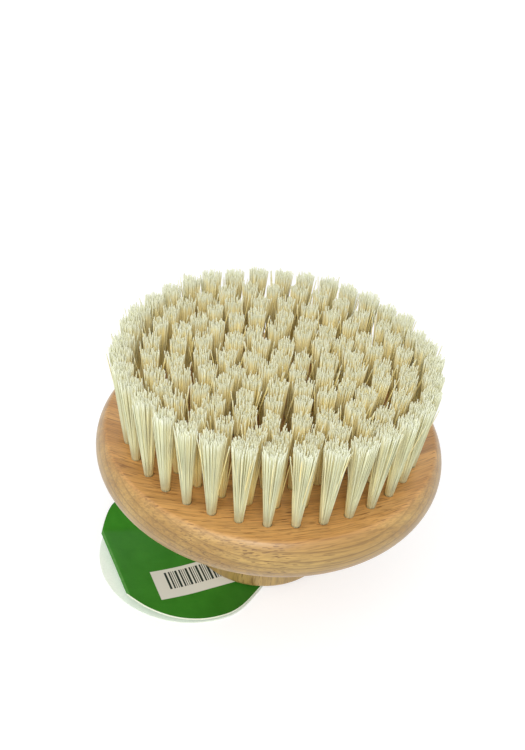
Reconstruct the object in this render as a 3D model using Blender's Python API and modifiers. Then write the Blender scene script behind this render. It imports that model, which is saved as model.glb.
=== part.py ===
"""Round palm body brush: a drilled beech head with rings of bristle tufts, a turned palm knob
under it to hold, and the folded card tag that it stands on. Metres, +Z up, origin on the
brush's axis where it stands."""
import math
import random

import bmesh
import bpy
from mathutils import Matrix, Vector

# Head: a turned disc with a flat drilled face, a bulged shoulder that ends upright at the rim,
# and a rounded underside
HEAD_RADIUS = 0.055
SHOULDER_WIDTH = 0.0030
SHOULDER_DEPTH = 0.0072
UNDER_ROUNDING_WIDTH = 0.0060
UNDER_ROUNDING_DEPTH = 0.0078

# Palm knob: a turned disc with a waisted neck that the fingers close round
KNOB_RADIUS = 0.0246
KNOB_BASE_ROUNDING = 0.0022
KNOB_SIDE_HEIGHT = 0.0098
KNOB_CROWN_HEIGHT = 0.0042
NECK_RADIUS = 0.0110
NECK_LOWER_HOLLOW = 0.0090
NECK_UPPER_HEIGHT = 0.0100
NECK_FLARE = 0.0065

# Dowel that joins the knob to the head
DOWEL_RADIUS = 0.0045
DOWEL_LENGTH = 0.0220
DOWEL_CHAMFER = 0.0008
DOWEL_DEPTH_IN_HEAD = 0.0090

# Tufts: rings of equal pitch round a centre tuft, each ring turned by its own angle, outermost first
TUFT_EDGE_MARGIN = 0.0064
TUFT_SPACING = 0.0076
TUFTS_ADDED_PER_RING = 6
RING_START_DEGREES = (2.3, 11.6, 0.0, 10.0, 4.0, 14.0)
OUTER_TUFT_LEAN = math.radians(2.4)

# Bristles, trimmed to a slight dish that is lowest over the centre tuft
BRISTLE_LENGTH = 0.0295
BRISTLE_DISH = 0.0020
BRISTLE_TRIM_SPREAD = 0.0007

# Strands: three to a tuft, three-sided, close at the root and fanned out at the tip
STRANDS_PER_TUFT = 3
STRAND_ROOT_RADIUS = 0.0008
STRAND_TIP_RADIUS = 0.00135
STRAND_ROOT_OFFSET = 0.00095
STRAND_TIP_OFFSET = 0.00195
STRAND_ROOT_SINK = 0.0004
TUFT_TWIST = math.radians(37.0)

# Slice of the face that each ring of tufts is set in
SLICE_MARGIN = 0.00035
SLICE_THICKNESS = 0.0010

# Card tag: two round leaves, the front one creased along a chord
TAG_RADIUS = 0.0307
TAG_CENTRE_X = -0.0228
TAG_CENTRE_Y = -0.0096
TAG_CREASE_DISTANCE = 0.0271
TAG_CREASE_NORMAL = math.radians(208.8)
TAG_BACK_THICKNESS = 0.0005
TAG_FRONT_THICKNESS = 0.0008

# Clearances, facets and the seed of the bristles' trimmed lengths
GAP = 0.0003
MERGE_DISTANCE = 0.00001
TURN_STEPS = 48
ARC_POINTS = 5
TRIM_SEED = 7

# Sizes and heights that follow from the sizes above
HEAD_THICKNESS = SHOULDER_DEPTH + UNDER_ROUNDING_DEPTH
FACE_RADIUS = HEAD_RADIUS - SHOULDER_WIDTH
SHOULDER_RADIUS = (SHOULDER_WIDTH ** 2 + SHOULDER_DEPTH ** 2) / (2.0 * SHOULDER_WIDTH)
UNDERSIDE_RADIUS = HEAD_RADIUS - UNDER_ROUNDING_WIDTH
KNOB_SIDE_TOP = KNOB_BASE_ROUNDING + KNOB_SIDE_HEIGHT
KNOB_DISC_HEIGHT = KNOB_SIDE_TOP + KNOB_CROWN_HEIGHT
NECK_MIDDLE = KNOB_DISC_HEIGHT + NECK_LOWER_HOLLOW
KNOB_HEIGHT = NECK_MIDDLE + NECK_UPPER_HEIGHT
OUTER_RING_RADIUS = FACE_RADIUS - TUFT_EDGE_MARGIN
RING_COUNT = max(1, round(OUTER_RING_RADIUS / TUFT_SPACING))
RING_PITCH = OUTER_RING_RADIUS / RING_COUNT
SLICE_WIDTH = 2.0 * (STRAND_ROOT_OFFSET + STRAND_ROOT_RADIUS + SLICE_MARGIN)
TAG_FRONT_BASE = TAG_BACK_THICKNESS + GAP
KNOB_BASE = TAG_FRONT_BASE + TAG_FRONT_THICKNESS + GAP
KNOB_TOP = KNOB_BASE + KNOB_HEIGHT
HEAD_UNDERSIDE = KNOB_TOP + GAP
FACE_HEIGHT = HEAD_UNDERSIDE + HEAD_THICKNESS
BORE_RADIUS = DOWEL_RADIUS + GAP

BEECH = (0.60, 0.34, 0.13)
BEECH_SHADED = (0.48, 0.29, 0.12)
BRISTLE = (0.74, 0.68, 0.44)
CARD_GREEN = (0.04, 0.17, 0.02)
CARD_WHITE = (0.78, 0.82, 0.72)


def clear_scene():
    for item in list(bpy.data.objects):
        bpy.data.objects.remove(item, do_unlink=True)


def new_collection(name):
    collection = bpy.data.collections.new(name)
    bpy.context.scene.collection.children.link(collection)
    return collection


def new_material(name, colour, roughness):
    material = bpy.data.materials.new(name)
    material.use_nodes = True
    shader = material.node_tree.nodes["Principled BSDF"]
    shader.inputs["Base Color"].default_value = (*colour, 1.0)
    shader.inputs["Roughness"].default_value = roughness
    shader.inputs["Metallic"].default_value = 0.0
    return material


def arc(centre, radii, start, end, points=ARC_POINTS):
    """Points of an elliptical arc in the profile plane, as (radius, height)."""
    result = []
    for i in range(points):
        angle = start + (end - start) * i / (points - 1)
        result.append((centre[0] + radii[0] * math.cos(angle), centre[1] + radii[1] * math.sin(angle)))
    return result


def turned(name, profile, material, collection, closed=False):
    """A solid of revolution about Z from a profile that runs down its outer side."""
    mesh = bpy.data.meshes.new(name)
    edges = [(i, i + 1) for i in range(len(profile) - 1)]
    if closed:
        edges.append((len(profile) - 1, 0))
    mesh.from_pydata([(radius, 0.0, height) for radius, height in profile], edges, [])
    mesh.materials.append(material)
    part = bpy.data.objects.new(name, mesh)
    collection.objects.link(part)
    screw = part.modifiers.new("Turn", "SCREW")
    screw.axis = "Z"
    screw.angle = 2.0 * math.pi
    screw.steps = TURN_STEPS
    screw.render_steps = TURN_STEPS
    screw.use_merge_vertices = True
    screw.merge_threshold = MERGE_DISTANCE
    screw.use_smooth_shade = True
    return part


def ring_radius(ring):
    """Radius of a ring of tufts, counted from 0 at the outermost."""
    return OUTER_RING_RADIUS - ring * RING_PITCH


def tuft_lean(radius):
    """Outward lean of the tufts at a radius: upright in the middle, most at the outermost ring."""
    return OUTER_TUFT_LEAN * radius / OUTER_RING_RADIUS


def trimmed_length(radius):
    return BRISTLE_LENGTH - BRISTLE_DISH * (1.0 - (radius / OUTER_RING_RADIUS) ** 2)


def make_head(material, collection):
    """Flat face with one groove for each ring of tufts, rounded rim, bore for the dowel."""
    groove_half = SLICE_WIDTH / 2.0 + GAP
    groove_floor = -(SLICE_THICKNESS + GAP)
    profile = [(0.0, groove_floor), (groove_half, groove_floor), (groove_half, 0.0)]
    for ring in reversed(range(RING_COUNT)):
        inner = ring_radius(ring) - groove_half
        outer = ring_radius(ring) + groove_half
        profile += [(inner, 0.0), (inner, groove_floor), (outer, groove_floor), (outer, 0.0)]
    shoulder = (SHOULDER_RADIUS, SHOULDER_RADIUS)
    shoulder_start = math.atan2(SHOULDER_DEPTH, SHOULDER_RADIUS - SHOULDER_WIDTH)
    profile += arc((HEAD_RADIUS - SHOULDER_RADIUS, -SHOULDER_DEPTH), shoulder, shoulder_start, 0.0)
    lower = (UNDER_ROUNDING_WIDTH, UNDER_ROUNDING_DEPTH)
    profile += arc((UNDERSIDE_RADIUS, -SHOULDER_DEPTH), lower, 0.0, -math.pi / 2.0)[1:]
    bore_top = -HEAD_THICKNESS + DOWEL_DEPTH_IN_HEAD + GAP
    profile += [(BORE_RADIUS, -HEAD_THICKNESS), (BORE_RADIUS, bore_top), (0.0, bore_top)]
    head = turned("brush_head", profile, material, collection)
    head.location = (0.0, 0.0, FACE_HEIGHT)
    return head


def make_knob(material, collection):
    """Palm disc on a flat base, drawn in to a neck that flares again under the head."""
    bore_floor = KNOB_HEIGHT - (DOWEL_LENGTH - DOWEL_DEPTH_IN_HEAD)
    neck_top_radius = NECK_RADIUS + NECK_FLARE
    profile = [(0.0, bore_floor), (BORE_RADIUS, bore_floor)]
    profile += [(BORE_RADIUS, KNOB_HEIGHT), (neck_top_radius, KNOB_HEIGHT)]
    flare = (NECK_FLARE, NECK_UPPER_HEIGHT)
    profile += arc((neck_top_radius, NECK_MIDDLE), flare, math.pi / 2.0, math.pi)[1:]
    hollow = (NECK_LOWER_HOLLOW, NECK_LOWER_HOLLOW)
    crown_radius = NECK_RADIUS + NECK_LOWER_HOLLOW
    profile += arc((crown_radius, NECK_MIDDLE), hollow, math.pi, 1.5 * math.pi)[1:]
    crown = (KNOB_RADIUS - crown_radius, KNOB_CROWN_HEIGHT)
    profile += arc((crown_radius, KNOB_SIDE_TOP), crown, math.pi / 2.0, 0.0)[1:]
    rounding = (KNOB_BASE_ROUNDING, KNOB_BASE_ROUNDING)
    base_edge = (KNOB_RADIUS - KNOB_BASE_ROUNDING, KNOB_BASE_ROUNDING)
    profile += arc(base_edge, rounding, 0.0, -math.pi / 2.0)
    profile.append((0.0, 0.0))
    knob = turned("palm_knob", profile, material, collection)
    knob.location = (0.0, 0.0, KNOB_BASE)
    return knob


def make_dowel(material, collection):
    end = DOWEL_RADIUS - DOWEL_CHAMFER
    profile = [(0.0, DOWEL_LENGTH), (end, DOWEL_LENGTH), (DOWEL_RADIUS, DOWEL_LENGTH - DOWEL_CHAMFER)]
    profile += [(DOWEL_RADIUS, DOWEL_CHAMFER), (end, 0.0), (0.0, 0.0)]
    dowel = turned("joint_dowel", profile, material, collection)
    dowel.location = (0.0, 0.0, HEAD_UNDERSIDE + DOWEL_DEPTH_IN_HEAD - DOWEL_LENGTH)
    return dowel


def add_strand(mesh, root, tip):
    """A three-sided strand from root to tip, one corner turned away from its tuft's middle."""
    length = tip.z - root.z
    made = bmesh.ops.create_cone(mesh, cap_ends=True, segments=3, radius1=STRAND_ROOT_RADIUS,
                                 radius2=STRAND_TIP_RADIUS, depth=length)
    outward = math.atan2(tip.y - root.y, tip.x - root.x)
    lean = Matrix.Identity(4)
    lean[0][2] = (tip.x - root.x) / length
    lean[1][2] = (tip.y - root.y) / length
    place = Matrix.Translation((root + tip) / 2.0) @ lean @ Matrix.Rotation(outward - math.pi / 2.0, 4, "Z")
    bmesh.ops.transform(mesh, matrix=place, verts=made["verts"])


def add_tuft(mesh, radius, angle, turn, trim):
    """Three strands that lean outward together and fan out round their tuft's own middle."""
    outward = Vector((math.cos(angle), math.sin(angle), 0.0))
    for strand in range(STRANDS_PER_TUFT):
        fan = turn + 2.0 * math.pi * strand / STRANDS_PER_TUFT
        away = Vector((math.cos(fan), math.sin(fan), 0.0))
        height = trimmed_length(radius) - BRISTLE_TRIM_SPREAD * trim.random()
        tip_radius = radius + height * math.tan(tuft_lean(radius))
        root = outward * radius + away * STRAND_ROOT_OFFSET
        root.z = -STRAND_ROOT_SINK
        tip = outward * tip_radius + away * STRAND_TIP_OFFSET
        tip.z = height
        add_strand(mesh, root, tip)


def make_strands(name, radius, count, start, trim, cutters):
    """The strands of one ring as a hidden guide that is fused to the ring's slice."""
    mesh = bmesh.new()
    for tuft in range(count):
        angle = start + 2.0 * math.pi * tuft / count
        add_tuft(mesh, radius, angle, angle + TUFT_TWIST * tuft, trim)
    data = bpy.data.meshes.new(name)
    mesh.to_mesh(data)
    mesh.free()
    strands = bpy.data.objects.new(name, data)
    strands.location = (0.0, 0.0, FACE_HEIGHT)
    strands.hide_render = True
    strands.display_type = "WIRE"
    cutters.objects.link(strands)
    return strands


def make_tuft_ring(name, radius, count, start, trim, material, collection, cutters):
    """One ring of tufts on its slice of the face; a radius of zero gives the centre tuft."""
    inner = max(radius - SLICE_WIDTH / 2.0, 0.0)
    outer = radius + SLICE_WIDTH / 2.0
    profile = [(inner, 0.0), (outer, 0.0), (outer, -SLICE_THICKNESS), (inner, -SLICE_THICKNESS)]
    part = turned(name, profile, material, collection, closed=inner > 0.0)
    part.location = (0.0, 0.0, FACE_HEIGHT)
    strands = make_strands(name + "_strands", radius, count, start, trim, cutters)
    fuse = part.modifiers.new("Fuse strands", "BOOLEAN")
    fuse.operation = "UNION"
    fuse.solver = "EXACT"
    fuse.object = strands
    return part


def leaf_outline(creased):
    """A circle about the tag's centre, cut straight along the crease when asked."""
    points = []
    half_angle = math.acos(TAG_CREASE_DISTANCE / TAG_RADIUS) if creased else 0.0
    span = 2.0 * (math.pi - half_angle)
    count = TURN_STEPS + 1 if creased else TURN_STEPS
    for i in range(count):
        angle = TAG_CREASE_NORMAL + half_angle + span * i / TURN_STEPS
        points.append((TAG_RADIUS * math.cos(angle), TAG_RADIUS * math.sin(angle)))
    return points


def make_leaf(name, creased, base, thickness, material, collection):
    curve = bpy.data.curves.new(name, "CURVE")
    curve.dimensions = "2D"
    curve.fill_mode = "BOTH"
    curve.extrude = thickness / 2.0
    points = leaf_outline(creased)
    spline = curve.splines.new("POLY")
    spline.points.add(len(points) - 1)
    for point, (x, y) in zip(spline.points, points):
        point.co = (x, y, 0.0, 1.0)
    spline.use_cyclic_u = True
    curve.materials.append(material)
    leaf = bpy.data.objects.new(name, curve)
    leaf.location = (TAG_CENTRE_X, TAG_CENTRE_Y, base + thickness / 2.0)
    collection.objects.link(leaf)
    return leaf


def main():
    clear_scene()
    parts = new_collection("body_brush")
    cutters = new_collection("cutters")
    beech = new_material("beech", BEECH, 0.45)
    beech_shaded = new_material("beech_knob", BEECH_SHADED, 0.5)
    bristle = new_material("bristle", BRISTLE, 0.55)
    green = new_material("card_green", CARD_GREEN, 0.5)
    white = new_material("card_white", CARD_WHITE, 0.6)

    make_head(beech, parts)
    make_knob(beech_shaded, parts)
    make_dowel(beech_shaded, parts)
    trim = random.Random(TRIM_SEED)
    for ring in range(RING_COUNT):
        name = f"tuft_ring_{ring + 1}"
        count = TUFTS_ADDED_PER_RING * (RING_COUNT - ring)
        start = math.radians(RING_START_DEGREES[ring % len(RING_START_DEGREES)])
        make_tuft_ring(name, ring_radius(ring), count, start, trim, bristle, parts, cutters)
    make_tuft_ring("centre_tuft", 0.0, 1, 0.0, trim, bristle, parts, cutters)
    make_leaf("tag_back_leaf", False, 0.0, TAG_BACK_THICKNESS, white, parts)
    make_leaf("tag_front_leaf", True, TAG_FRONT_BASE, TAG_FRONT_THICKNESS, green, parts)


main()
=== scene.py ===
"""Body brush, dressed: drilled beech head, turned knob, tufts of separate bristles and the
folded card tag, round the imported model. Metres, +Z up, origin on the brush's axis where it stands."""
import math
from collections import namedtuple

import bmesh
import bpy
import numpy as np
from mathutils import Matrix, Vector


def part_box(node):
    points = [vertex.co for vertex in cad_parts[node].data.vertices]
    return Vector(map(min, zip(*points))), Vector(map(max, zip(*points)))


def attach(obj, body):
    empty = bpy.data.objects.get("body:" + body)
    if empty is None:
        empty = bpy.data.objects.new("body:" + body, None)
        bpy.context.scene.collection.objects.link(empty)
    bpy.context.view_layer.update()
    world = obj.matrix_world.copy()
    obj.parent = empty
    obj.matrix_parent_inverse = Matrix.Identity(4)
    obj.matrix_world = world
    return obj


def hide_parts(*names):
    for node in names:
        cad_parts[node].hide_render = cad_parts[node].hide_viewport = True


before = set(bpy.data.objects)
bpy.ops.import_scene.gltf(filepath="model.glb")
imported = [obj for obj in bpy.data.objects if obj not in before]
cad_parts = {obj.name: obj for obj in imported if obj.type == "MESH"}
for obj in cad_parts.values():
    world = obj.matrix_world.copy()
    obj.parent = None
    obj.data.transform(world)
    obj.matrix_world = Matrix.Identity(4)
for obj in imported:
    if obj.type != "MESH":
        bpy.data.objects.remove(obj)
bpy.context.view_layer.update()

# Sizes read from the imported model
HEAD_LOW, HEAD_HIGH = (Vector(corner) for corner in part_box("brush_head"))
KNOB_LOW, KNOB_HIGH = (Vector(corner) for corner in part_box("palm_knob"))
DOWEL_LOW, DOWEL_HIGH = (Vector(corner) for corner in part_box("joint_dowel"))
BACK_LOW, BACK_HIGH = (Vector(corner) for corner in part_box("tag_back_leaf"))
HEAD_RADIUS = HEAD_HIGH.x
FACE_Z = HEAD_HIGH.z
HEAD_BASE_Z = HEAD_LOW.z
KNOB_RADIUS = KNOB_HIGH.x
TAG_RADIUS = (BACK_HIGH.x - BACK_LOW.x) / 2.0
TAG_CENTRE = (BACK_LOW + BACK_HIGH) / 2.0

# Head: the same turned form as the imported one, with finer roundings
SHOULDER_WIDTH = 0.0030
SHOULDER_DEPTH = 0.0072
UNDER_ROUNDING_WIDTH = 0.0060
FACE_EDGE_EASE = 0.0006
FACE_EDGE_POINT = (0.35 * FACE_EDGE_EASE, 0.09 * FACE_EDGE_EASE)
FACE_RADIUS = HEAD_RADIUS - SHOULDER_WIDTH
BORE_CLEARANCE = 0.0003
BORE_RADIUS = DOWEL_HIGH.x + BORE_CLEARANCE

# Knob
KNOB_BASE_ROUNDING = 0.0022
KNOB_SIDE_HEIGHT = 0.0098
KNOB_CROWN_HEIGHT = 0.0042
NECK_RADIUS = 0.0110
NECK_LOWER_HOLLOW = 0.0090
NECK_FLARE = 0.0065
GLUE_LINE = 0.00004

# Tufts: where they stand, and their blind holes
TUFT_EDGE_MARGIN = 0.0064
RING_COUNT = 6
TUFTS_ADDED_PER_RING = 6
RING_START_DEGREES = (2.3, 11.6, 0.0, 10.0, 4.0, 14.0)
OUTER_RING_RADIUS = FACE_RADIUS - TUFT_EDGE_MARGIN
HOLE_RADIUS = 0.00134
HOLE_DEPTH = 0.0050
HOLE_MOUTH = 0.00010
HOLE_SIDES = 20

# Bristles: their length, and how far the brush's middle is dished and its tufts are cut short
BRISTLE_LENGTH = 0.0295
BRISTLE_DISH = 0.0020
TRIM_SPREAD = 0.0006
TRIM_LIMIT = 0.0014

# A tuft of the outermost ring shows its whole length and is fuller, finer and tidier than the others.
# The lean spread is in degrees.
TuftKind = namedtuple("TuftKind", "bristles bristle_radius tip_spread stray_share stray_reach cup_depth "
                                  "height_spread lean_spread")
OUTER_TUFT = TuftKind(bristles=186, bristle_radius=0.000165, tip_spread=0.0035, stray_share=0.022,
                      stray_reach=0.0050, cup_depth=0.0007, height_spread=0.00105, lean_spread=0.5)
INNER_TUFT = TuftKind(bristles=92, bristle_radius=0.000195, tip_spread=0.0030, stray_share=0.040,
                      stray_reach=0.0058, cup_depth=0.0011, height_spread=0.00115, lean_spread=1.1)

# How the bristles of one tuft differ. A pair of counts or shares is the least and the most, and
# TONE_SHAPE is the beta distribution's. The core ends CORE_EDGE of the way out and fades over CORE_FADE.
BRISTLES_MORE_OR_LESS = (-9, 5)
DISC_DISORDER = 0.03
TIP_SPREAD_SHARES = (0.86, 1.08)
TIP_DISORDER = 0.00016
CLUMP_COUNTS = (5, 8)
CLUMP_REACH = 0.80
CLUMP_PULL = 0.26
CLUMP_TIGHTNESS = 0.35
CLUMP_STEP = 0.0008
STRAY_REACH_SHARES = (0.72, 1.0)
HEIGHT_LIMIT = 0.0034
BOW_SPREAD = 0.00006
TONE_SHAPE = (2.2, 2.0)
# The core of a tuft is painted paler, as painted light
CORE_EDGE = 0.92
CORE_FADE = 0.22

# One bristle: a rod that tapers and flares slightly away from its root. It has four sides, so that
# its ends are faces with four corners, as its sides are.
BRISTLE_SIDES = 4
BRISTLE_ROWS = 4
BRISTLE_CORNERS = BRISTLE_ROWS * BRISTLE_SIDES
BRISTLE_THICKNESS_SHARES = (0.80, 1.18)
BRISTLE_TAPER = 0.12
BRISTLE_FLARE = 1.04
ROOT_SPREAD = 0.00098
ROOT_SINK = 0.0022

# The outer tufts lean outwards, less so along the side where the brush is worn
OUTER_TUFT_LEAN = math.radians(2.4)
WORN_SIDE = math.radians(40.0)
WORN_LEAN = math.radians(2.8)
WORN_FOCUS = 4

# Start of the random draws
SEED = 20

# Card tag: its fold, its height at each distance from the fold, and the stretch of rim cut closer
CARD_THICKNESS = 0.0003
CARD_EDGE_ROUNDING = 0.00012
BACK_LEAF_CLEARANCE = 0.00012
FRONT_LEAF_MARGIN = 0.0002
FAR_RIM_MARGIN = 0.00002
FOLD_DISTANCE = 0.0271
FOLD_NORMAL = math.radians(208.8)
FOLD_HEIGHTS = ((0.0, 0.0052), (0.0035, 0.0041), (0.0093, 0.0030), (0.0135, 0.0024), (0.020, 0.00185),
                (0.070, 0.00185))
FOLD_RADIUS = 0.00033
FOLD_STEP_DEGREES = 18
HEIGHT_ROUNDING = 0.0022
HEIGHT_SAMPLES = 8
CORNER_LIFT = 0.0050
CORNER_LIFT_START = 0.0140
CORNER_LIFT_RUN = 0.0090
CORNER_LIFT_FREE_OF_KNOB = 0.010
TRIM_DEPTH = 0.0021
TRIM_START = math.radians(-60.0)
TRIM_FULL = math.radians(-30.0)
TRIM_EASES_AT = math.radians(25.0)
TRIM_END = math.radians(60.0)
LEAF_ROWS = 60
LEAF_COLUMNS = 48
LEAF_ROW_EVENNESS = 0.35
LEAF_MERGE_DISTANCE = 0.000003

# What is printed on the tag: a pale panel, and bars that repeat at one beat across it
PANEL_TURN = math.radians(27.9)
PANEL_CORNER = Vector((-0.0345, -0.0235))
PANEL_LENGTH = 0.0360
PANEL_HEIGHT = 0.0124
PRINT_EDGE = 0.00008
BAR_BEAT = 0.0036
BARS = ((0.0002, 0.0006), (0.0011, 0.0003), (0.0018, 0.0003), (0.0024, 0.0008))
BAR_EDGE = 0.00005
BARS_FROM_END = 0.0042
BARS_FROM_TOP = 0.0014
BARS_DOWN_TO = 0.0088
CREASE_FROM = -0.00020
CREASE_TO = 0.00062
CREASE_EDGE = 0.00018

# Painted shade darkens the print to the right and, by the slope's share as much, to the front: distance and
# lightness there
PAINTED_SHADE_SLOPE = 0.6
PAINTED_SHADE_SHIFT = 0.045
PRINT_PAINTED_SHADE = ((0.015, 1.06), (0.045, 0.98), (0.068, 0.55))

# Wood: the grain's slope across the face, how it arches, and the growth rings' centre and pitch
GRAIN_SLOPE = 0.20
GRAIN_ARCH = 5.0
RING_CENTRE_Y = 0.012
RING_CENTRE_Z = -0.160
RING_PITCH = 0.0021

# Wood noises, in waves to the metre: along the grain first where there are three
BAND_WAVES = (18.0, 240.0, 200.0)
FIBRE_WAVES = (80.0, 1900.0, 1900.0)
FLECK_WAVES = (230.0, 2700.0, 2700.0)
FLECK_PATCH_WAVES = 90.0
RING_PATCH_WAVES = 70.0

# How the grain wanders: waves to the metre, and how far in metres
BOARD_WANDER = (55.0, 0.0016)
FIBRE_WANDER = (300.0, 0.00040)
RING_WANDER = (38.0, 0.0020)

# How strongly rings and flecks show: rings by piece, and as a share of that on level surfaces
HEAD_RINGS = 0.74
KNOB_RINGS = 0.14
RINGS_ON_LEVEL_SIDES = 0.4
FLECK_STRENGTH = 0.85
FLECK_DEPTH = 0.8
WOOD_RELIEF = 0.00003

# What the wood's colour is multiplied by, from upright surfaces to level ones: painted shade that darkens
# and greys the upright sides
UPRIGHT_PAINTED_SHADE = ((0.0, (0.73, 0.88, 0.85)), (0.45, (0.79, 0.92, 0.89)), (0.95, (1.0, 1.0, 1.0)))

# Bristle and card noises, in waves to the metre
STREAK_WAVES = (900.0, 900.0, 90.0)
CARD_MOTTLE_WAVES = 160.0
CARD_FIBRE_WAVES = 1900.0
CARD_FIBRE_SQUEEZE = (1.0, 1.6, 1.0)
CREASE_WEAR_AND_HIGHLIGHT_WAVES = 500.0
CARD_RELIEF = 0.000006

# Colours in 0 to 255; those of a set run from the darkest bristles to the palest
HEAD_WOOD = (208, 157, 91)
HEAD_WOOD_SHADE = (185, 133, 70)
KNOB_WOOD = (216, 168, 106)
KNOB_WOOD_SHADE = (188, 140, 78)
LATEWOOD = (132, 92, 48)
FLECK = (126, 84, 40)
FIBRE_OUTSIDE = ((0.0, (214, 214, 175)), (0.5, (219, 221, 184)), (1.0, (225, 229, 196)))
# Painted warm shade, for the bristles inside the brush
FIBRE_PAINTED_SHADE = ((0.0, (227, 208, 148)), (0.5, (232, 217, 161)), (1.0, (237, 226, 175)))
# Painted bounce light, low on the bristles inside the brush
FIBRE_PAINTED_BOUNCE = ((0.0, (253, 234, 158)), (1.0, (255, 242, 178)))
# Tips: the cut ends' own pale colour, lifted further as painted light
FIBRE_TIP_OUTSIDE = ((0.0, (232, 233, 198)), (0.4, (240, 242, 214)), (1.0, (247, 250, 232)))
FIBRE_TIP_INSIDE = ((0.0, (213, 209, 170)), (0.4, (224, 222, 189)), (1.0, (237, 238, 214)))
# Painted light for the middle of each tuft, which the tuft's own bristles shade
FIBRE_CORE_PAINTED_LIGHT_OUTSIDE = (246, 243, 202)
FIBRE_CORE_PAINTED_LIGHT_INSIDE = (252, 234, 162)
WHITE_CARD = (245, 251, 239)
WHITE_CARD_SHADE = (239, 247, 233)
CUT_EDGE = (242, 245, 228)
CUT_EDGE_SHADE = (228, 232, 206)
GREEN_INK = (58, 134, 38)
GREEN_INK_SHADE = (48, 122, 30)
PANEL_INK = (222, 224, 212)
BAR_INK = (38, 52, 44)
# Worn ink and painted highlight along the fold
WORN_AND_HIGHLIT_GREEN = (100, 158, 82)

# Studio: the floor and its glow by distance from the brush, the world's light level, and the lamps
# as name, place, size and power
FLOOR_RADIUS = 1.6
FLOOR_SIDES = 96
FLOOR_DROP = 0.00005
FLOOR_GREY = 0.60
FLOOR_GLOW = ((0.20, 0.50), (0.60, 0.62))
WORLD_LEVEL = 0.72
LAMPS = (("softbox_left", (-0.42, -0.76, 0.66), 0.8, 2.6), ("softbox_front", (0.04, -0.80, 0.66), 0.4, 3.8))
LAMPS_AIM = Vector((0.0, 0.0, 0.05))

# How finely the turned pieces are made: steps round the axis, and points on each arc of a profile
TURN_STEPS = 256
TURN_MERGE_DISTANCE = 0.000002
RIM_POINTS = 16
NECK_POINTS = 20
CROWN_POINTS = 12
KNOB_EDGE_POINTS = 10
CARD_EDGE_POINTS = 5
SHARP_ANGLE = 35.0
CARD_SHARP_ANGLE = 40.0


def srgb(red, green, blue):
    """The linear values of a colour given in 0 to 255."""
    result = []
    for value in (red, green, blue):
        value /= 255.0
        result.append(value / 12.92 if value <= 0.04045 else ((value + 0.055) / 1.055) ** 2.4)
    return tuple(result)


def colour_stops(colours):
    """A set of colours as the stops of a ramp."""
    return [(position, srgb(*colour)) for position, colour in colours]


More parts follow.
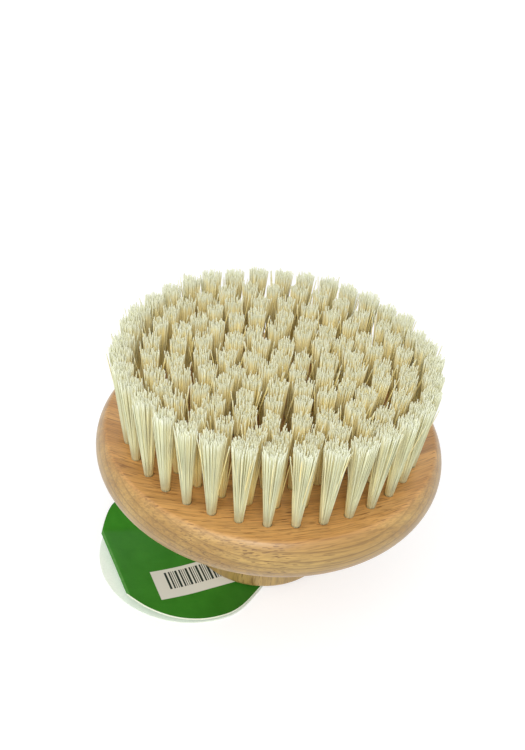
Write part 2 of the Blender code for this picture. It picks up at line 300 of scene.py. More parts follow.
class Nodes:
    """A material's node tree with short calls for what the finishes below repeat."""

    def __init__(self, name):
        self.material = bpy.data.materials.new(name)
        self.material.use_nodes = True
        self.tree = self.material.node_tree
        self.shader = self.tree.nodes["Principled BSDF"]

    def set(self, **values):
        for name, value in values.items():
            socket = self.shader.inputs[name.replace("_", " ")]
            socket.default_value = (*value, 1.0) if socket.type == "RGBA" else value

    def put(self, value, socket):
        if isinstance(value, bpy.types.NodeSocket):
            self.tree.links.new(value, socket)
        elif isinstance(value, tuple) and len(value) == 3 and socket.type == "RGBA":
            socket.default_value = (*value, 1.0)
        else:
            socket.default_value = value

    def math(self, operation, a, b=0.0, clamp=False):
        node = self.tree.nodes.new("ShaderNodeMath")
        node.operation = operation
        node.use_clamp = clamp
        self.put(a, node.inputs[0])
        self.put(b, node.inputs[1])
        return node.outputs[0]

    def length(self, a, b):
        squares = self.math("ADD", self.math("MULTIPLY", a, a), self.math("MULTIPLY", b, b))
        return self.math("SQRT", squares)

    def coordinates(self, output="Object"):
        return self.tree.nodes.new("ShaderNodeTexCoord").outputs[output]

    def scaled(self, vector, scale=(1.0, 1.0, 1.0), turn=(0.0, 0.0, 0.0)):
        node = self.tree.nodes.new("ShaderNodeMapping")
        self.put(vector, node.inputs["Vector"])
        node.inputs["Rotation"].default_value = turn
        node.inputs["Scale"].default_value = scale
        return node.outputs[0]

    def noise(self, vector, scale, detail=2.0, roughness=0.5, output="Fac"):
        node = self.tree.nodes.new("ShaderNodeTexNoise")
        self.put(vector, node.inputs["Vector"])
        node.inputs["Scale"].default_value = scale
        node.inputs["Detail"].default_value = detail
        node.inputs["Roughness"].default_value = roughness
        return node.outputs[output]

    def ramp(self, value, *stops):
        """Stops are (position, colour or grey)."""
        node = self.tree.nodes.new("ShaderNodeValToRGB")
        self.put(value, node.inputs["Fac"])
        elements = node.color_ramp.elements
        while len(elements) > 1:
            elements.remove(elements[-1])
        for i, (position, colour) in enumerate(stops):
            element = elements[0] if i == 0 else elements.new(position)
            element.position = position
            element.color = (*colour, 1.0) if isinstance(colour, tuple) else (colour, colour, colour, 1.0)
        return node.outputs["Color"]

    def mix(self, fraction, a, b, blend="MIX"):
        node = self.tree.nodes.new("ShaderNodeMix")
        node.data_type = "RGBA"
        node.blend_type = blend
        self.put(fraction, node.inputs[0])
        self.put(a, node.inputs[6])
        self.put(b, node.inputs[7])
        return node.outputs[2]

    def warped(self, vector, scale, amount):
        """The vector pushed about by a soft noise, amount in metres."""
        push = self.noise(vector, scale, detail=1.0, output="Color")
        centre = self.tree.nodes.new("ShaderNodeVectorMath")
        centre.operation = "SUBTRACT"
        self.put(push, centre.inputs[0])
        centre.inputs[1].default_value = (0.5, 0.5, 0.5)
        add = self.tree.nodes.new("ShaderNodeVectorMath")
        add.operation = "MULTIPLY_ADD"
        self.put(centre.outputs[0], add.inputs[0])
        add.inputs[1].default_value = (amount, amount, amount)
        self.put(vector, add.inputs[2])
        return add.outputs[0]

    def arched(self, vector, slope, bend):
        """The vector with lines along X sloped and bent like the grain of a flat-sawn board."""
        parts = self.tree.nodes.new("ShaderNodeSeparateXYZ")
        self.put(vector, parts.inputs[0])
        x = parts.outputs["X"]
        rise = self.math("MULTIPLY", x, self.math("ADD", self.math("MULTIPLY", x, bend), slope))
        joined = self.tree.nodes.new("ShaderNodeCombineXYZ")
        self.put(x, joined.inputs["X"])
        self.put(self.math("SUBTRACT", parts.outputs["Y"], rise), joined.inputs["Y"])
        self.put(parts.outputs["Z"], joined.inputs["Z"])
        return joined.outputs[0]

    def attribute(self, name):
        node = self.tree.nodes.new("ShaderNodeAttribute")
        node.attribute_name = name
        return node.outputs["Fac"]

    def axis(self, vector, name):
        node = self.tree.nodes.new("ShaderNodeSeparateXYZ")
        self.put(vector, node.inputs[0])
        return node.outputs[name]

    def colour(self, value):
        self.put(value, self.shader.inputs["Base Color"])

    def roughness(self, value):
        self.put(value, self.shader.inputs["Roughness"])

    def bump(self, height, depth):
        node = self.tree.nodes.new("ShaderNodeBump")
        node.inputs["Strength"].default_value = 1.0
        node.inputs["Distance"].default_value = depth
        self.put(height, node.inputs["Height"])
        self.put(node.outputs[0], self.shader.inputs["Normal"])


def make_beech(name, upright, light, dark, ring_strength):
    """Oiled beech: soft bands, growth rings, fine fibre and short dark flecks along the grain."""
    nodes = Nodes(name)
    if upright:
        grain = nodes.scaled(nodes.coordinates(), turn=(0.0, math.radians(90.0), 0.0))
    else:
        grain = nodes.arched(nodes.coordinates(), GRAIN_SLOPE, GRAIN_ARCH)
    straight = nodes.warped(grain, *BOARD_WANDER)
    wavy = nodes.warped(straight, *FIBRE_WANDER)
    bands = nodes.noise(nodes.scaled(wavy, scale=BAND_WAVES), 1.0, detail=3.0)
    colour = nodes.ramp(bands, (0.36, dark), (0.64, light))
    fibre = nodes.noise(nodes.scaled(wavy, scale=FIBRE_WAVES), 1.0, detail=2.0)
    fibre_shade = nodes.ramp(fibre, (0.34, 0.80), (0.50, 0.99), (0.68, 1.12))
    colour = nodes.mix(1.0, colour, fibre_shade, "MULTIPLY")

    placed = nodes.warped(grain, *RING_WANDER)
    across = nodes.math("SUBTRACT", nodes.axis(placed, "Y"), RING_CENTRE_Y)
    height = nodes.math("SUBTRACT", nodes.axis(placed, "Z"), RING_CENTRE_Z)
    from_centre = nodes.length(across, height)
    ring = nodes.math("FRACT", nodes.math("DIVIDE", from_centre, RING_PITCH))
    ring_line = nodes.ramp(ring, (0.0, 0.0), (0.70, 0.0), (0.89, 0.70), (0.95, 1.0), (1.0, 0.0))
    ring_patches = nodes.ramp(nodes.noise(grain, RING_PATCH_WAVES), (0.36, 0.55), (0.58, 1.0))
    ring_line = nodes.math("MULTIPLY", ring_line, ring_patches)
    normal = nodes.coordinates("Normal")
    upward = nodes.math("ABSOLUTE", nodes.axis(normal, "Z"))
    along_grain = nodes.ramp(nodes.math("ABSOLUTE", nodes.axis(normal, "X")), (0.25, 1.0), (0.60, 0.15))
    ring_by_side = nodes.ramp(upward, (0.2, ring_strength), (0.95, ring_strength * RINGS_ON_LEVEL_SIDES))
    colour = nodes.mix(nodes.math("MULTIPLY", ring_line, ring_by_side), colour, srgb(*LATEWOOD))

    flecks = nodes.noise(nodes.scaled(straight, scale=FLECK_WAVES), 1.0, detail=1.0, roughness=0.4)
    fleck_line = nodes.ramp(flecks, (0.585, 0.0), (0.65, 1.0))
    fleck_patches = nodes.ramp(nodes.noise(grain, FLECK_PATCH_WAVES, detail=1.0), (0.35, 0.45), (0.6, 1.0))
    fleck_amount = nodes.math("MULTIPLY", nodes.math("MULTIPLY", fleck_line, fleck_patches), FLECK_STRENGTH)
    fleck_amount = nodes.math("MULTIPLY", fleck_amount, along_grain)
    colour = nodes.mix(fleck_amount, colour, srgb(*FLECK))

    # Painted shade: the upright sides are made darker and greyer than the level face
    upright_painted_shade = nodes.ramp(upward, *UPRIGHT_PAINTED_SHADE)
    colour = nodes.mix(1.0, colour, upright_painted_shade, "MULTIPLY")

    nodes.colour(colour)
    nodes.roughness(nodes.ramp(fibre, (0.3, 0.36), (0.7, 0.50)))
    relief = nodes.math("SUBTRACT", fibre, nodes.math("MULTIPLY", fleck_line, FLECK_DEPTH))
    nodes.bump(relief, WOOD_RELIEF)
    nodes.set(Coat_Weight=0.40, Coat_Roughness=0.30)
    return nodes.material


def make_bristle_material():
    """Pale plant fibre: whitish cut tips lifted further by painted light, cream along the outside, and
    painted warm shade and painted bounce light deep in the brush.

    tone is a bristle's own shade, along runs from its root to its tip, the shade share is 1 inside the
    brush, where painted warm shade takes the place of the cream, and core is 1 in the middle of a tuft,
    where light only comes through its neighbours, so it is painted paler as painted light."""
    nodes = Nodes("plant_fibre")
    tone = nodes.attribute("tone")
    along = nodes.attribute("along")
    painted_shade_share = nodes.attribute("painted_shade_share")
    outside = nodes.ramp(tone, *colour_stops(FIBRE_OUTSIDE))
    # Painted warm shade for the bristles inside the brush
    inside = nodes.ramp(tone, *colour_stops(FIBRE_PAINTED_SHADE))
    deep = nodes.ramp(tone, *colour_stops(FIBRE_PAINTED_BOUNCE))
    # Painted bounce light on the lower part of those bristles
    inside = nodes.mix(nodes.ramp(along, (0.45, 1.0), (0.65, 0.0)), inside, deep)
    colour = nodes.mix(painted_shade_share, outside, inside)
    # Painted light: the middle of each tuft is made paler
    core_painted_light = nodes.mix(painted_shade_share, srgb(*FIBRE_CORE_PAINTED_LIGHT_OUTSIDE), srgb(*FIBRE_CORE_PAINTED_LIGHT_INSIDE))
    colour = nodes.mix(nodes.attribute("core"), colour, core_painted_light)
    # The tips: their own pale colour, lifted further as painted light
    outer_tip = nodes.ramp(tone, *colour_stops(FIBRE_TIP_OUTSIDE))
    inner_tip = nodes.ramp(tone, *colour_stops(FIBRE_TIP_INSIDE))
    tip = nodes.mix(painted_shade_share, outer_tip, inner_tip)
    at_tip = nodes.ramp(along, (0.0, 0.0), (0.87, 0.0), (0.94, 0.40), (0.975, 1.0))
    colour = nodes.mix(at_tip, colour, tip)
    streak = nodes.noise(nodes.scaled(nodes.coordinates(), scale=STREAK_WAVES), 1.0)
    colour = nodes.mix(1.0, colour, nodes.ramp(streak, (0.3, 0.94), (0.7, 1.04)), "MULTIPLY")
    # Painted light: bristles made paler just above the face, where the holes shade them
    colour = nodes.mix(1.0, colour, nodes.ramp(along, (0.07, 1.20), (0.15, 1.0)), "MULTIPLY")
    nodes.colour(colour)
    nodes.roughness(nodes.ramp(streak, (0.3, 0.42), (0.7, 0.58)))
    nodes.set(Specular_IOR_Level=0.35)
    return nodes.material


def make_card(name, colour, shade, roughness):
    """Card with a faint mottle from its fibres: its nodes, and its colour for a print to go over."""
    nodes = Nodes(name)
    place = nodes.coordinates()
    mottle = nodes.noise(place, CARD_MOTTLE_WAVES, detail=4.0, roughness=0.6)
    fibre = nodes.noise(nodes.scaled(place, scale=CARD_FIBRE_SQUEEZE), CARD_FIBRE_WAVES, detail=2.0)
    base = nodes.mix(nodes.ramp(mottle, (0.3, 0.0), (0.7, 1.0)), shade, colour)
    base = nodes.mix(1.0, base, nodes.ramp(fibre, (0.3, 0.96), (0.7, 1.04)), "MULTIPLY")
    nodes.colour(base)
    nodes.roughness(nodes.ramp(mottle, (0.3, roughness - 0.05), (0.7, roughness + 0.05)))
    nodes.bump(fibre, CARD_RELIEF)
    return nodes, base


def box_mask(nodes, value, low, high, soft=PRINT_EDGE):
    """1 where the value lies between low and high, with edges that soft."""
    up = nodes.math("DIVIDE", nodes.math("SUBTRACT", value, low), soft, clamp=True)
    down = nodes.math("DIVIDE", nodes.math("SUBTRACT", high, value), soft, clamp=True)
    return nodes.math("MULTIPLY", up, down)


def turned(name, profile, material):
    """A solid of revolution about Z from (radius, height) points that run down its outer side."""
    mesh = bpy.data.meshes.new(name)
    edges = [(i, i + 1) for i in range(len(profile) - 1)]
    mesh.from_pydata([(radius, 0.0, height) for radius, height in profile], edges, [])
    guide = bpy.data.objects.new(name + "_profile", mesh)
    bpy.context.scene.collection.objects.link(guide)
    screw = guide.modifiers.new("Turn", "SCREW")
    screw.axis = "Z"
    screw.angle = 2.0 * math.pi
    screw.steps = TURN_STEPS
    screw.render_steps = TURN_STEPS
    screw.use_merge_vertices = True
    screw.merge_threshold = TURN_MERGE_DISTANCE
    piece = as_mesh(guide, name)
    piece.data.materials.append(material)
    return piece


def as_mesh(guide, name):
    """The guide's evaluated mesh as a new object; the guide is removed."""
    depsgraph = bpy.context.evaluated_depsgraph_get()
    mesh = bpy.data.meshes.new_from_object(guide.evaluated_get(depsgraph))
    mesh.name = name
    piece = bpy.data.objects.new(name, mesh)
    bpy.context.scene.collection.objects.link(piece)
    bpy.data.objects.remove(guide, do_unlink=True)
    return piece


def arc(centre, radii, start, end, points):
    """Points along an arc of an ellipse, from the start angle to the end angle."""
    result = []
    for i in range(points):
        angle = start + (end - start) * i / (points - 1)
        result.append((centre[0] + radii[0] * math.cos(angle), centre[1] + radii[1] * math.sin(angle)))
    return result


def tuft_places():
    """(ring, radius, angle) of every tuft; ring 0 is the outermost and the last is the centre."""
    places = []
    for ring in range(RING_COUNT):
        radius = OUTER_RING_RADIUS * (RING_COUNT - ring) / RING_COUNT
        count = TUFTS_ADDED_PER_RING * (RING_COUNT - ring)
        for tuft in range(count):
            places.append((ring, radius, math.radians(RING_START_DEGREES[ring] + 360.0 * tuft / count)))
    places.append((RING_COUNT, 0.0, 0.0))
    return places


def make_holes(places):
    """One cutter for all the tufts' holes, each with a slightly opened mouth."""
    mesh = bmesh.new()
    mouth_radius = HOLE_RADIUS + 2.0 * HOLE_MOUTH
    profile = ((HOLE_RADIUS, -HOLE_DEPTH), (HOLE_RADIUS, -HOLE_MOUTH), (mouth_radius, HOLE_MOUTH))
    for _, radius, angle in places:
        centre = Vector((radius * math.cos(angle), radius * math.sin(angle), FACE_Z))
        rows = []
        for hole_radius, height in profile:
            row = []
            for i in range(HOLE_SIDES):
                turn = 2.0 * math.pi * i / HOLE_SIDES
                offset = Vector((hole_radius * math.cos(turn), hole_radius * math.sin(turn), height))
                row.append(mesh.verts.new(centre + offset))
            rows.append(row)
        mesh.faces.new(list(reversed(rows[0])))
        mesh.faces.new(rows[-1])
        for low, high in zip(rows, rows[1:]):
            for i in range(HOLE_SIDES):
                k = (i + 1) % HOLE_SIDES
                mesh.faces.new((low[i], low[k], high[k], high[i]))
    data = bpy.data.meshes.new("tuft_holes")
    mesh.to_mesh(data)
    mesh.free()
    cutter = bpy.data.objects.new("tuft_holes", data)
    bpy.context.scene.collection.objects.link(cutter)
    return cutter


def cut(piece, cutter):
    """The piece less the cutter, which is removed."""
    boolean = piece.modifiers.new("Drill", "BOOLEAN")
    boolean.operation = "DIFFERENCE"
    boolean.solver = "EXACT"
    boolean.object = cutter
    name = piece.name
    piece.name = name + "_blank"
    result = as_mesh(piece, name)
    bpy.data.objects.remove(cutter, do_unlink=True)
    return result


def smooth(piece, degrees=SHARP_ANGLE):
    """Shade the piece smooth, with its edges sharp where they turn by more than the angle."""
    piece.data.shade_smooth()
    piece.data.set_sharp_from_angle(angle=math.radians(degrees))


def finish_piece(piece, node):
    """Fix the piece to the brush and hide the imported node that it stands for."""
    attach(piece, "root")
    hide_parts(node)


def make_head(material, places):
    """The drilled disc: a flat face, a sloping round shoulder and a fuller rounding underneath."""
    rim_z = FACE_Z - SHOULDER_DEPTH
    lower_depth = rim_z - HEAD_BASE_Z
    shoulder_radius = (SHOULDER_WIDTH ** 2 + SHOULDER_DEPTH ** 2) / (2.0 * SHOULDER_WIDTH)
    start = math.asin(SHOULDER_DEPTH / shoulder_radius)
    ease = FACE_EDGE_EASE / shoulder_radius
    profile = [(0.0, FACE_Z), (FACE_RADIUS / 2.0, FACE_Z), (FACE_RADIUS - FACE_EDGE_EASE, FACE_Z)]
    profile.append((FACE_RADIUS - FACE_EDGE_POINT[0], FACE_Z - FACE_EDGE_POINT[1]))
    shoulder = (shoulder_radius, shoulder_radius)
    profile += arc((HEAD_RADIUS - shoulder_radius, rim_z), shoulder, start - ease, 0.0, RIM_POINTS)
    under_radius = HEAD_RADIUS - UNDER_ROUNDING_WIDTH
    under = (UNDER_ROUNDING_WIDTH, lower_depth)
    profile += arc((under_radius, rim_z), under, 0.0, -math.pi / 2.0, RIM_POINTS)[1:]
    bore_top = DOWEL_HIGH.z + BORE_CLEARANCE
    profile += [(BORE_RADIUS, HEAD_BASE_Z), (BORE_RADIUS, bore_top), (0.0, bore_top)]
    head = cut(turned("head", profile, material), make_holes(places))
    smooth(head)
    finish_piece(head, "brush_head")


def make_knob(material):
    """The turned knob: a straight side, a low crown, and a hollow neck that flares to the head."""
    base = KNOB_LOW.z
    side_top = base + KNOB_BASE_ROUNDING + KNOB_SIDE_HEIGHT
    neck_middle = side_top + KNOB_CROWN_HEIGHT + NECK_LOWER_HOLLOW
    top = HEAD_BASE_Z - GLUE_LINE
    neck_top_radius = NECK_RADIUS + NECK_FLARE
    bore_floor = DOWEL_LOW.z - BORE_CLEARANCE
    profile = [(0.0, bore_floor), (BORE_RADIUS, bore_floor), (BORE_RADIUS, top), (neck_top_radius, top)]
    flare = (NECK_FLARE, top - neck_middle)
    profile += arc((neck_top_radius, neck_middle), flare, math.pi / 2.0, math.pi, NECK_POINTS)[1:]
    crown_radius = NECK_RADIUS + NECK_LOWER_HOLLOW
    hollow = (NECK_LOWER_HOLLOW, NECK_LOWER_HOLLOW)
    profile += arc((crown_radius, neck_middle), hollow, math.pi, 1.5 * math.pi, NECK_POINTS)[1:]
    crown = (KNOB_RADIUS - crown_radius, KNOB_CROWN_HEIGHT)
    profile += arc((crown_radius, side_top), crown, math.pi / 2.0, 0.0, CROWN_POINTS)[1:]
    rounding = (KNOB_BASE_ROUNDING, KNOB_BASE_ROUNDING)
    edge = (KNOB_RADIUS - KNOB_BASE_ROUNDING, base + KNOB_BASE_ROUNDING)
    profile += arc(edge, rounding, 0.0, -math.pi / 2.0, KNOB_EDGE_POINTS)
    profile.append((0.0, base))
    knob = turned("knob", profile, material)
    smooth(knob)
    finish_piece(knob, "palm_knob")


def disc_points(count, spread, rng):
    """Points that fill a disc evenly, by the sunflower rule, with a little disorder."""
    index = np.arange(count)
    radius = spread * np.sqrt((index + 0.5) / count)
    angle = index * math.pi * (3.0 - math.sqrt(5.0)) + rng.uniform(0.0, 2.0 * math.pi)
    points = np.stack([radius * np.cos(angle), radius * np.sin(angle)], axis=-1)
    return points + rng.normal(0.0, spread * DISC_DISORDER, points.shape)


def tuft_kind(ring):
    return OUTER_TUFT if ring == 0 else INNER_TUFT


def tuft_bristles(ring, radius, angle, rng):
    """Root, tip, sideways bow, tone, painted shade share and core of each bristle of one tuft."""
    kind = tuft_kind(ring)
    part_out = radius / OUTER_RING_RADIUS
    count = kind.bristles + int(rng.integers(*BRISTLES_MORE_OR_LESS, endpoint=True))
    root = disc_points(count, ROOT_SPREAD, rng)
    spread = kind.tip_spread * rng.uniform(*TIP_SPREAD_SHARES)
    fan = root / ROOT_SPREAD * spread + rng.normal(0.0, TIP_DISORDER, root.shape)
    clumps = disc_points(int(rng.integers(*CLUMP_COUNTS, endpoint=True)), spread * CLUMP_REACH, rng)
    nearest = np.argmin(np.linalg.norm(fan[:, None] - clumps[None], axis=2), axis=1)
    pull = rng.uniform(0.0, CLUMP_PULL, count)[:, None]
    fan = fan * (1.0 - pull) + (clumps[nearest] + (fan - clumps[nearest]) * CLUMP_TIGHTNESS) * pull
    strays = np.flatnonzero(rng.random(count) < kind.stray_share)
    aside = rng.uniform(0.0, 2.0 * math.pi, len(strays))
    reach = kind.stray_reach * rng.uniform(*STRAY_REACH_SHARES, len(strays))
    fan[strays] = np.stack([reach * np.cos(aside), reach * np.sin(aside)], axis=-1)

    cut_short = min(abs(rng.normal(0.0, TRIM_SPREAD)), TRIM_LIMIT)
    length = BRISTLE_LENGTH - BRISTLE_DISH * (1.0 - part_out ** 2) - cut_short
    heights = length - np.minimum(np.abs(rng.normal(0.0, kind.height_spread, count)), HEIGHT_LIMIT)
    heights -= rng.uniform(0.0, CLUMP_STEP, len(clumps))[nearest]
    part_from_core = np.linalg.norm(root, axis=1) / ROOT_SPREAD
    heights -= kind.cup_depth * np.clip(1.0 - part_from_core ** 2, 0.0, 1.0)

    worn = WORN_LEAN * max(0.0, math.cos(angle - WORN_SIDE)) ** WORN_FOCUS
    lean = (OUTER_TUFT_LEAN - worn) * part_out + math.radians(rng.normal(0.0, kind.lean_spread))
    sway = math.radians(rng.normal(0.0, kind.lean_spread))
    outward = np.array([math.cos(angle), math.sin(angle)])
    sideways = np.array([-outward[1], outward[0]])
    centre = outward * radius
    shift = length * (math.tan(lean) * outward + math.tan(sway) * sideways)
    roots = np.column_stack([centre + root, np.full(count, FACE_Z - ROOT_SINK)])
    tips = np.column_stack([centre + shift + fan, FACE_Z + heights])
    bows = np.column_stack([rng.normal(0.0, BOW_SPREAD, (count, 2)), np.zeros(count)])
    # Painted shade share: outer-ring bristles facing into the brush, and all bristles of the inner rings,
    # take the painted warm shade
    facing_in = 0.5 - 0.5 * (root @ outward) / ROOT_SPREAD
    painted_shade_share = np.clip(facing_in, 0.0, 1.0) if kind is OUTER_TUFT else np.ones(count)
    core = np.clip((CORE_EDGE - part_from_core) / CORE_FADE, 0.0, 1.0)
    return roots, tips, bows, rng.beta(*TONE_SHAPE, count), painted_shade_share, core


def bristle_faces(count):
    """The faces of that many rods, and for those of one rod whether they are its rounded sides."""
    faces = []
    for row in range(BRISTLE_ROWS - 1):
        for i in range(BRISTLE_SIDES):
            k = (i + 1) % BRISTLE_SIDES
            low, high = row * BRISTLE_SIDES, (row + 1) * BRISTLE_SIDES
            faces.append((low + i, low + k, high + k, high + i))
    rounded = [True] * len(faces) + [False, False]
    faces.append(tuple(reversed(range(BRISTLE_SIDES))))
    faces.append(tuple(range(BRISTLE_CORNERS - BRISTLE_SIDES, BRISTLE_CORNERS)))
    all_faces = np.array(faces)[None] + (np.arange(count) * BRISTLE_CORNERS)[:, None, None]
    return all_faces.reshape(-1, BRISTLE_SIDES), rounded


def make_bristles(name, tufts, rng, material, node):
    """All the bristles of one ring as one mesh of thin, slightly bowed rods with flat cut ends."""
    bristle_radius = tuft_kind(tufts[0][0]).bristle_radius
    parts = [tuft_bristles(*tuft, rng) for tuft in tufts]
    roots, tips, bows, tones, painted_shade_shares, cores = (np.concatenate(group) for group in zip(*parts))
    count = len(roots)
    along = np.linspace(0.0, 1.0, BRISTLE_ROWS)
    sideways = along[None, :, None] ** BRISTLE_FLARE
    centre = roots[:, None, :] + (tips - roots)[:, None, :] * sideways
    centre[:, :, 2] = roots[:, None, 2] + (tips - roots)[:, None, 2] * along[None, :]
    centre += bows[:, None, :] * (4.0 * along * (1.0 - along))[None, :, None]
    turn = rng.uniform(0.0, math.pi, count)[:, None, None]
    corner = turn + (2.0 * math.pi * np.arange(BRISTLE_SIDES) / BRISTLE_SIDES)[None, None, :]
    thickness = bristle_radius * rng.uniform(*BRISTLE_THICKNESS_SHARES, count)[:, None, None]
    thickness = thickness * (1.0 - BRISTLE_TAPER * along[None, :, None])
    ring = np.stack([np.cos(corner) * thickness, np.sin(corner) * thickness], axis=-1)
    ring = np.concatenate([ring, np.zeros((*ring.shape[:-1], 1))], axis=-1)
    verts = (centre[:, :, None, :] + ring).reshape(-1, 3)
    faces, rounded = bristle_faces(count)

    mesh = bpy.data.meshes.new(name)
    mesh.from_pydata(verts.tolist(), [], faces.tolist())
    mesh.polygons.foreach_set("use_smooth", np.tile(rounded, count))
    attributes = {"tone": np.repeat(tones, BRISTLE_CORNERS), "painted_shade_share": np.repeat(painted_shade_shares, BRISTLE_CORNERS),
                  "core": np.repeat(cores, BRISTLE_CORNERS),
                  "along": np.tile(np.repeat(along, BRISTLE_SIDES), count)}
    for label, values in attributes.items():
        attribute = mesh.attributes.new(label, "FLOAT", "POINT")
        attribute.data.foreach_set("value", values.astype(np.float32))
    mesh.materials.append(material)
    piece = bpy.data.objects.new(name, mesh)
    bpy.context.scene.collection.objects.link(piece)
    finish_piece(piece, node)


def tag_place(s, t):
    """World x and y of a point s inward from the fold and t along it, from its middle."""
    inward = Vector((-math.cos(FOLD_NORMAL), -math.sin(FOLD_NORMAL)))
    fold_middle = TAG_CENTRE.xy - inward * FOLD_DISTANCE
    return fold_middle + inward * s + Vector((-inward.y, inward.x)) * t


def leaf_height(s):
    """Height of the front leaf's upper side at s from the fold, straight between the list's points."""
    for (s0, z0), (s1, z1) in zip(FOLD_HEIGHTS, FOLD_HEIGHTS[1:]):
        if s <= s1:
            part = max(0.0, min(1.0, (s - s0) / (s1 - s0)))
            return z0 + (z1 - z0) * part
    return FOLD_HEIGHTS[-1][1]


def eased(part):
    """0 to 1 with a soft start and end."""
    part = max(0.0, min(1.0, part))
    return part * part * (3.0 - 2.0 * part)


def trimmed(x, y):
    """The place drawn in towards the tag's centre along the stretch of rim that tucks under the knob."""
    offset = Vector((x, y)) - TAG_CENTRE.xy
    angle = math.atan2(offset.y, offset.x)
    part = eased((angle - TRIM_START) / (TRIM_FULL - TRIM_START))
    part *= 1.0 - eased((angle - TRIM_EASES_AT) / (TRIM_END - TRIM_EASES_AT))
    return TAG_CENTRE.xy + offset * (1.0 - TRIM_DEPTH * part * offset.length / TAG_RADIUS ** 2)


def smooth_height(s, t):
    """The leaf's height with its list's corners rounded off, and the lift of its far left corner."""
    total = 0.0
    for i in range(-HEIGHT_SAMPLES, HEIGHT_SAMPLES + 1):
        total += leaf_height(abs(s + HEIGHT_ROUNDING * i / HEIGHT_SAMPLES))
    lift = CORNER_LIFT * eased((t - CORNER_LIFT_START) / CORNER_LIFT_RUN)
    clear = eased((tag_place(s, t).length - KNOB_RADIUS) / CORNER_LIFT_FREE_OF_KNOB)
    return total / (2 * HEIGHT_SAMPLES + 1) + lift * clear


def make_front_leaf(printed, plain, edge):
    """A round card doubled along a straight fold at its left, bowed up from under the knob.

    Its sheet runs from the far rim along the lower layer, round the fold and back along the upper layer."""
    rim_radius = TAG_RADIUS - FRONT_LEAF_MARGIN
    run = FOLD_DISTANCE + rim_radius - FAR_RIM_MARGIN - FOLD_RADIUS
    layer = []
    for i in range(LEAF_ROWS + 1):
        part = i / LEAF_ROWS
        layer.append(FOLD_RADIUS + run * part * (LEAF_ROW_EVENNESS + (1.0 - LEAF_ROW_EVENNESS) * part))
    rows = [(s, 2.0 * FOLD_RADIUS, -1.0) for s in reversed(layer)]
    for degrees in range(FOLD_STEP_DEGREES - 90, 90, FOLD_STEP_DEGREES):
        angle = math.radians(degrees)
        s = FOLD_RADIUS * (1.0 - math.cos(angle))
        rows.append((s, FOLD_RADIUS * (1.0 - math.sin(angle)), FOLD_RADIUS * (angle - math.pi / 2.0)))
    rows += [(s, 0.0, s - FOLD_RADIUS) for s in layer]

    mesh = bmesh.new()
    grid = []
    fold_layer = mesh.verts.layers.float.new("from_fold")
    for s, drop, from_fold in rows:
        half = math.sqrt(rim_radius ** 2 - (FOLD_DISTANCE - s) ** 2)
        row = []
        for k in range(LEAF_COLUMNS + 1):
            t = half * math.sin(math.pi * (k / LEAF_COLUMNS - 0.5))
            place = trimmed(*tag_place(s, t))
            vert = mesh.verts.new((place.x, place.y, smooth_height(s, t) - drop))
            vert[fold_layer] = from_fold
            row.append(vert)
        grid.append(row)
    for low, high in zip(grid, grid[1:]):
        for k in range(LEAF_COLUMNS):
            mesh.faces.new((low[k], high[k], high[k + 1], low[k + 1]))
    bmesh.ops.remove_doubles(mesh, verts=mesh.verts, dist=LEAF_MERGE_DISTANCE)
    bmesh.ops.recalc_face_normals(mesh, faces=mesh.faces)
    data = bpy.data.meshes.new("folded_leaf")
    mesh.to_mesh(data)
    mesh.free()
    guide = bpy.data.objects.new("folded_leaf_sheet", data)
    bpy.context.scene.collection.objects.link(guide)
    for material in (printed, plain, edge):
        data.materials.append(material)
    top = max(data.polygons, key=lambda face: face.center.z)
    solidify = guide.modifiers.new("Card", "SOLIDIFY")
    solidify.thickness = CARD_THICKNESS
    solidify.offset = -1.0 if top.normal.z > 0.0 else 1.0
    solidify.material_offset = 1
    solidify.material_offset_rim = 2
    piece = as_mesh(guide, "folded_leaf")
    smooth(piece, CARD_SHARP_ANGLE)
    finish_piece(piece, "tag_front_leaf")


def make_back_leaf(material):
    """The white leaf, flat where it stands, with softly rounded cut edges."""
    top = BACK_HIGH.z - BACK_LEAF_CLEARANCE
    rounding = (CARD_EDGE_ROUNDING, CARD_EDGE_ROUNDING)
    edge = TAG_RADIUS - CARD_EDGE_ROUNDING
    profile = [(0.0, top)]
    profile += arc((edge, top - CARD_EDGE_ROUNDING), rounding, math.pi / 2.0, 0.0, CARD_EDGE_POINTS)
    profile += arc((edge, BACK_LOW.z + CARD_EDGE_ROUNDING), rounding, 0.0, -math.pi / 2.0, CARD_EDGE_POINTS)
    profile.append((0.0, BACK_LOW.z))
    leaf = turned("back_leaf", profile, material)
    for vert in leaf.data.vertices:
        place = trimmed(vert.co.x + TAG_CENTRE.x, vert.co.y + TAG_CENTRE.y)
        vert.co.x, vert.co.y = place
    smooth(leaf)
    finish_piece(leaf, "tag_back_leaf")


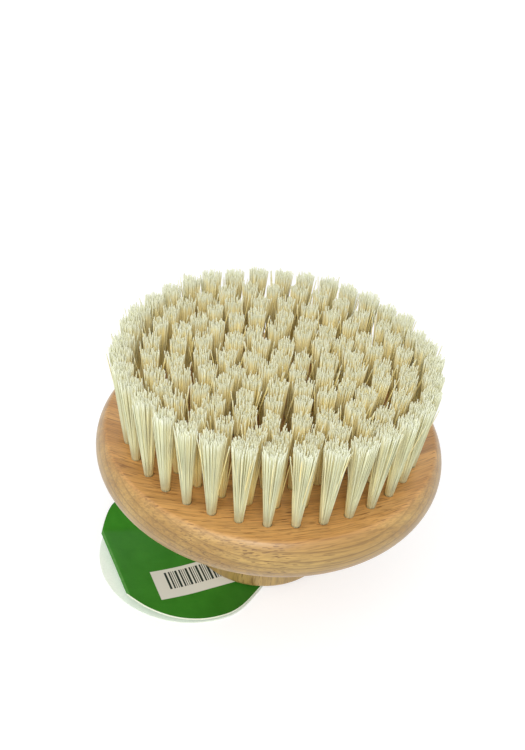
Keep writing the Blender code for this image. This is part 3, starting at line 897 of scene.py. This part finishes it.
def make_printed_card():
    """Green printed card with a pale panel ruled by plain thin bars, a fold worn pale with a painted
    highlight along it, and painted shade to the right and front.
    """
    nodes, base = make_card("card_green_print", srgb(*GREEN_INK), srgb(*GREEN_INK_SHADE), 0.40)
    nodes.set(Specular_IOR_Level=0.25)
    place = nodes.coordinates()
    # Painted shade: the green is darkened towards the right and the front, and lifted a little at the far
    # left
    to_front = nodes.math("MULTIPLY", nodes.axis(place, "Y"), -PAINTED_SHADE_SLOPE)
    to_front_right = nodes.math("ADD", nodes.axis(place, "X"), to_front)
    painted_shade = nodes.ramp(nodes.math("ADD", to_front_right, PAINTED_SHADE_SHIFT), *PRINT_PAINTED_SHADE)
    base = nodes.mix(1.0, base, painted_shade, "MULTIPLY")

    in_panel = nodes.scaled(place, turn=(0.0, 0.0, -PANEL_TURN))
    along = nodes.axis(in_panel, "X")
    across = nodes.axis(in_panel, "Y")
    corner = Matrix.Rotation(-PANEL_TURN, 2) @ PANEL_CORNER
    left, right, top = corner.x, corner.x + PANEL_LENGTH, corner.y
    panel = nodes.math("MULTIPLY", box_mask(nodes, along, left, right),
                       box_mask(nodes, across, top - PANEL_HEIGHT, top))
    colour = nodes.mix(panel, base, srgb(*PANEL_INK))
    beat = nodes.math("MULTIPLY", nodes.math("FRACT", nodes.math("DIVIDE", along, BAR_BEAT)), BAR_BEAT)
    bars = 0.0
    for start, width in BARS:
        bars = nodes.math("ADD", bars, box_mask(nodes, beat, start, start + width, BAR_EDGE))
    barred = nodes.math("MULTIPLY", box_mask(nodes, along, left + BARS_FROM_END, right),
                        box_mask(nodes, across, top - BARS_DOWN_TO, top - BARS_FROM_TOP))
    colour = nodes.mix(nodes.math("MULTIPLY", bars, barred), colour, srgb(*BAR_INK))

    # The pale band along the fold is partly worn ink and partly a painted highlight
    on_fold = box_mask(nodes, nodes.attribute("from_fold"), CREASE_FROM, CREASE_TO, CREASE_EDGE)
    wear_and_highlight = nodes.ramp(nodes.noise(place, CREASE_WEAR_AND_HIGHLIGHT_WAVES, detail=2.0), (0.4, 0.45), (0.6, 0.85))
    colour = nodes.mix(nodes.math("MULTIPLY", on_fold, wear_and_highlight), colour, srgb(*WORN_AND_HIGHLIT_GREEN))
    nodes.colour(colour)
    return nodes.material


def make_floor():
    """A plain pale floor that looks white, and keeps the soft shadow of what stands on it."""
    nodes = Nodes("floor_white")
    nodes.set(Base_Color=(FLOOR_GREY, FLOOR_GREY, FLOOR_GREY), Roughness=0.9, Specular_IOR_Level=0.1)
    tree = nodes.tree
    path = tree.nodes.new("ShaderNodeLightPath")
    seen = nodes.math("ADD", path.outputs["Is Camera Ray"], path.outputs["Is Glossy Ray"], clamp=True)
    seen = nodes.math("ADD", seen, path.outputs["Is Transmission Ray"], clamp=True)
    glow = tree.nodes.new("ShaderNodeEmission")
    glow.inputs["Color"].default_value = (1.0, 1.0, 1.0, 1.0)
    away = tree.nodes.new("ShaderNodeVectorMath")
    away.operation = "LENGTH"
    nodes.put(nodes.coordinates(), away.inputs[0])
    level = nodes.ramp(away.outputs["Value"], *FLOOR_GLOW)
    nodes.put(nodes.math("MULTIPLY", seen, level), glow.inputs["Strength"])
    both = tree.nodes.new("ShaderNodeAddShader")
    tree.links.new(nodes.shader.outputs[0], both.inputs[0])
    tree.links.new(glow.outputs[0], both.inputs[1])
    tree.links.new(both.outputs[0], tree.nodes["Material Output"].inputs["Surface"])
    bpy.ops.mesh.primitive_circle_add(vertices=FLOOR_SIDES, radius=FLOOR_RADIUS, fill_type="NGON",
                                      location=(0.0, 0.0, -FLOOR_DROP))
    floor = bpy.context.object
    floor.name = "studio_floor"
    floor.data.materials.append(nodes.material)


def make_world():
    """An even white room that looks pure white itself."""
    world = bpy.data.worlds.new("studio")
    bpy.context.scene.world = world
    world.use_nodes = True
    tree = world.node_tree
    background = tree.nodes["Background"]
    background.inputs["Color"].default_value = (1.0, 1.0, 1.0, 1.0)
    path = tree.nodes.new("ShaderNodeLightPath")
    seen = path.outputs["Is Camera Ray"]
    for ray in ("Is Glossy Ray", "Is Transmission Ray"):
        add = tree.nodes.new("ShaderNodeMath")
        add.operation = "ADD"
        add.use_clamp = True
        tree.links.new(seen, add.inputs[0])
        tree.links.new(path.outputs[ray], add.inputs[1])
        seen = add.outputs[0]
    level = tree.nodes.new("ShaderNodeMapRange")
    level.inputs["To Min"].default_value = WORLD_LEVEL
    level.inputs["To Max"].default_value = 1.0
    tree.links.new(seen, level.inputs["Value"])
    tree.links.new(level.outputs[0], background.inputs["Strength"])


def make_lamp(name, place, size, power):
    """A round softbox that faces the brush."""
    data = bpy.data.lights.new(name, "AREA")
    data.shape = "DISK"
    data.size = size
    data.energy = power
    lamp = bpy.data.objects.new(name, data)
    lamp.location = place
    aim = LAMPS_AIM - Vector(place)
    lamp.rotation_euler = aim.to_track_quat("-Z", "Y").to_euler()
    bpy.context.scene.collection.objects.link(lamp)


def make_camera():
    """Placed from the photographed circles: distance, height, and three small turns."""
    distance = 0.28560
    elevation = math.radians(38.20)
    swing, tilt, roll = (math.radians(value) for value in (0.897, 2.865, -6.219))
    back = Vector((0.0, -math.cos(elevation), math.sin(elevation)))
    forward = -back
    right = Vector((1.0, 0.0, 0.0))
    up = right.cross(forward)
    turn = Matrix.Rotation(swing, 3, up)
    forward, right = turn @ forward, turn @ right
    turn = Matrix.Rotation(tilt, 3, right)
    forward, up = turn @ forward, turn @ up
    turn = Matrix.Rotation(roll, 3, forward)
    right, up = turn @ right, turn @ up
    data = bpy.data.cameras.new("camera")
    data.sensor_width = 36.0
    data.lens = 43.20
    data.clip_start = 0.01
    camera = bpy.data.objects.new("camera", data)
    axes = Matrix((right, up, -forward)).transposed().to_4x4()
    camera.matrix_world = Matrix.Translation(Vector((0.0, 0.0, FACE_Z)) + back * distance) @ axes
    bpy.context.scene.collection.objects.link(camera)
    bpy.context.scene.camera = camera


def main():
    bpy.context.scene.view_settings.view_transform = "Standard"
    make_camera()
    make_world()
    make_floor()
    for lamp in LAMPS:
        make_lamp(*lamp)

    beech = make_beech("oiled_beech", False, srgb(*HEAD_WOOD), srgb(*HEAD_WOOD_SHADE), HEAD_RINGS)
    knob_wood = make_beech("oiled_beech_knob", True, srgb(*KNOB_WOOD), srgb(*KNOB_WOOD_SHADE), KNOB_RINGS)
    places = tuft_places()
    make_head(beech, places)
    make_knob(knob_wood)
    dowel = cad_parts["joint_dowel"]
    dowel.data.materials.clear()
    dowel.data.materials.append(knob_wood)

    fibre = make_bristle_material()
    rng = np.random.default_rng(SEED)
    for ring in range(RING_COUNT + 1):
        centre = ring == RING_COUNT
        name = "bristles_centre" if centre else f"bristles_ring_{ring + 1}"
        node = "centre_tuft" if centre else f"tuft_ring_{ring + 1}"
        make_bristles(name, [place for place in places if place[0] == ring], rng, fibre, node)

    white_nodes, _ = make_card("card_white_plain", srgb(*WHITE_CARD), srgb(*WHITE_CARD_SHADE), 0.6)
    edge_nodes, _ = make_card("card_cut_edge", srgb(*CUT_EDGE), srgb(*CUT_EDGE_SHADE), 0.7)
    make_front_leaf(make_printed_card(), white_nodes.material, edge_nodes.material)
    make_back_leaf(white_nodes.material)


main()
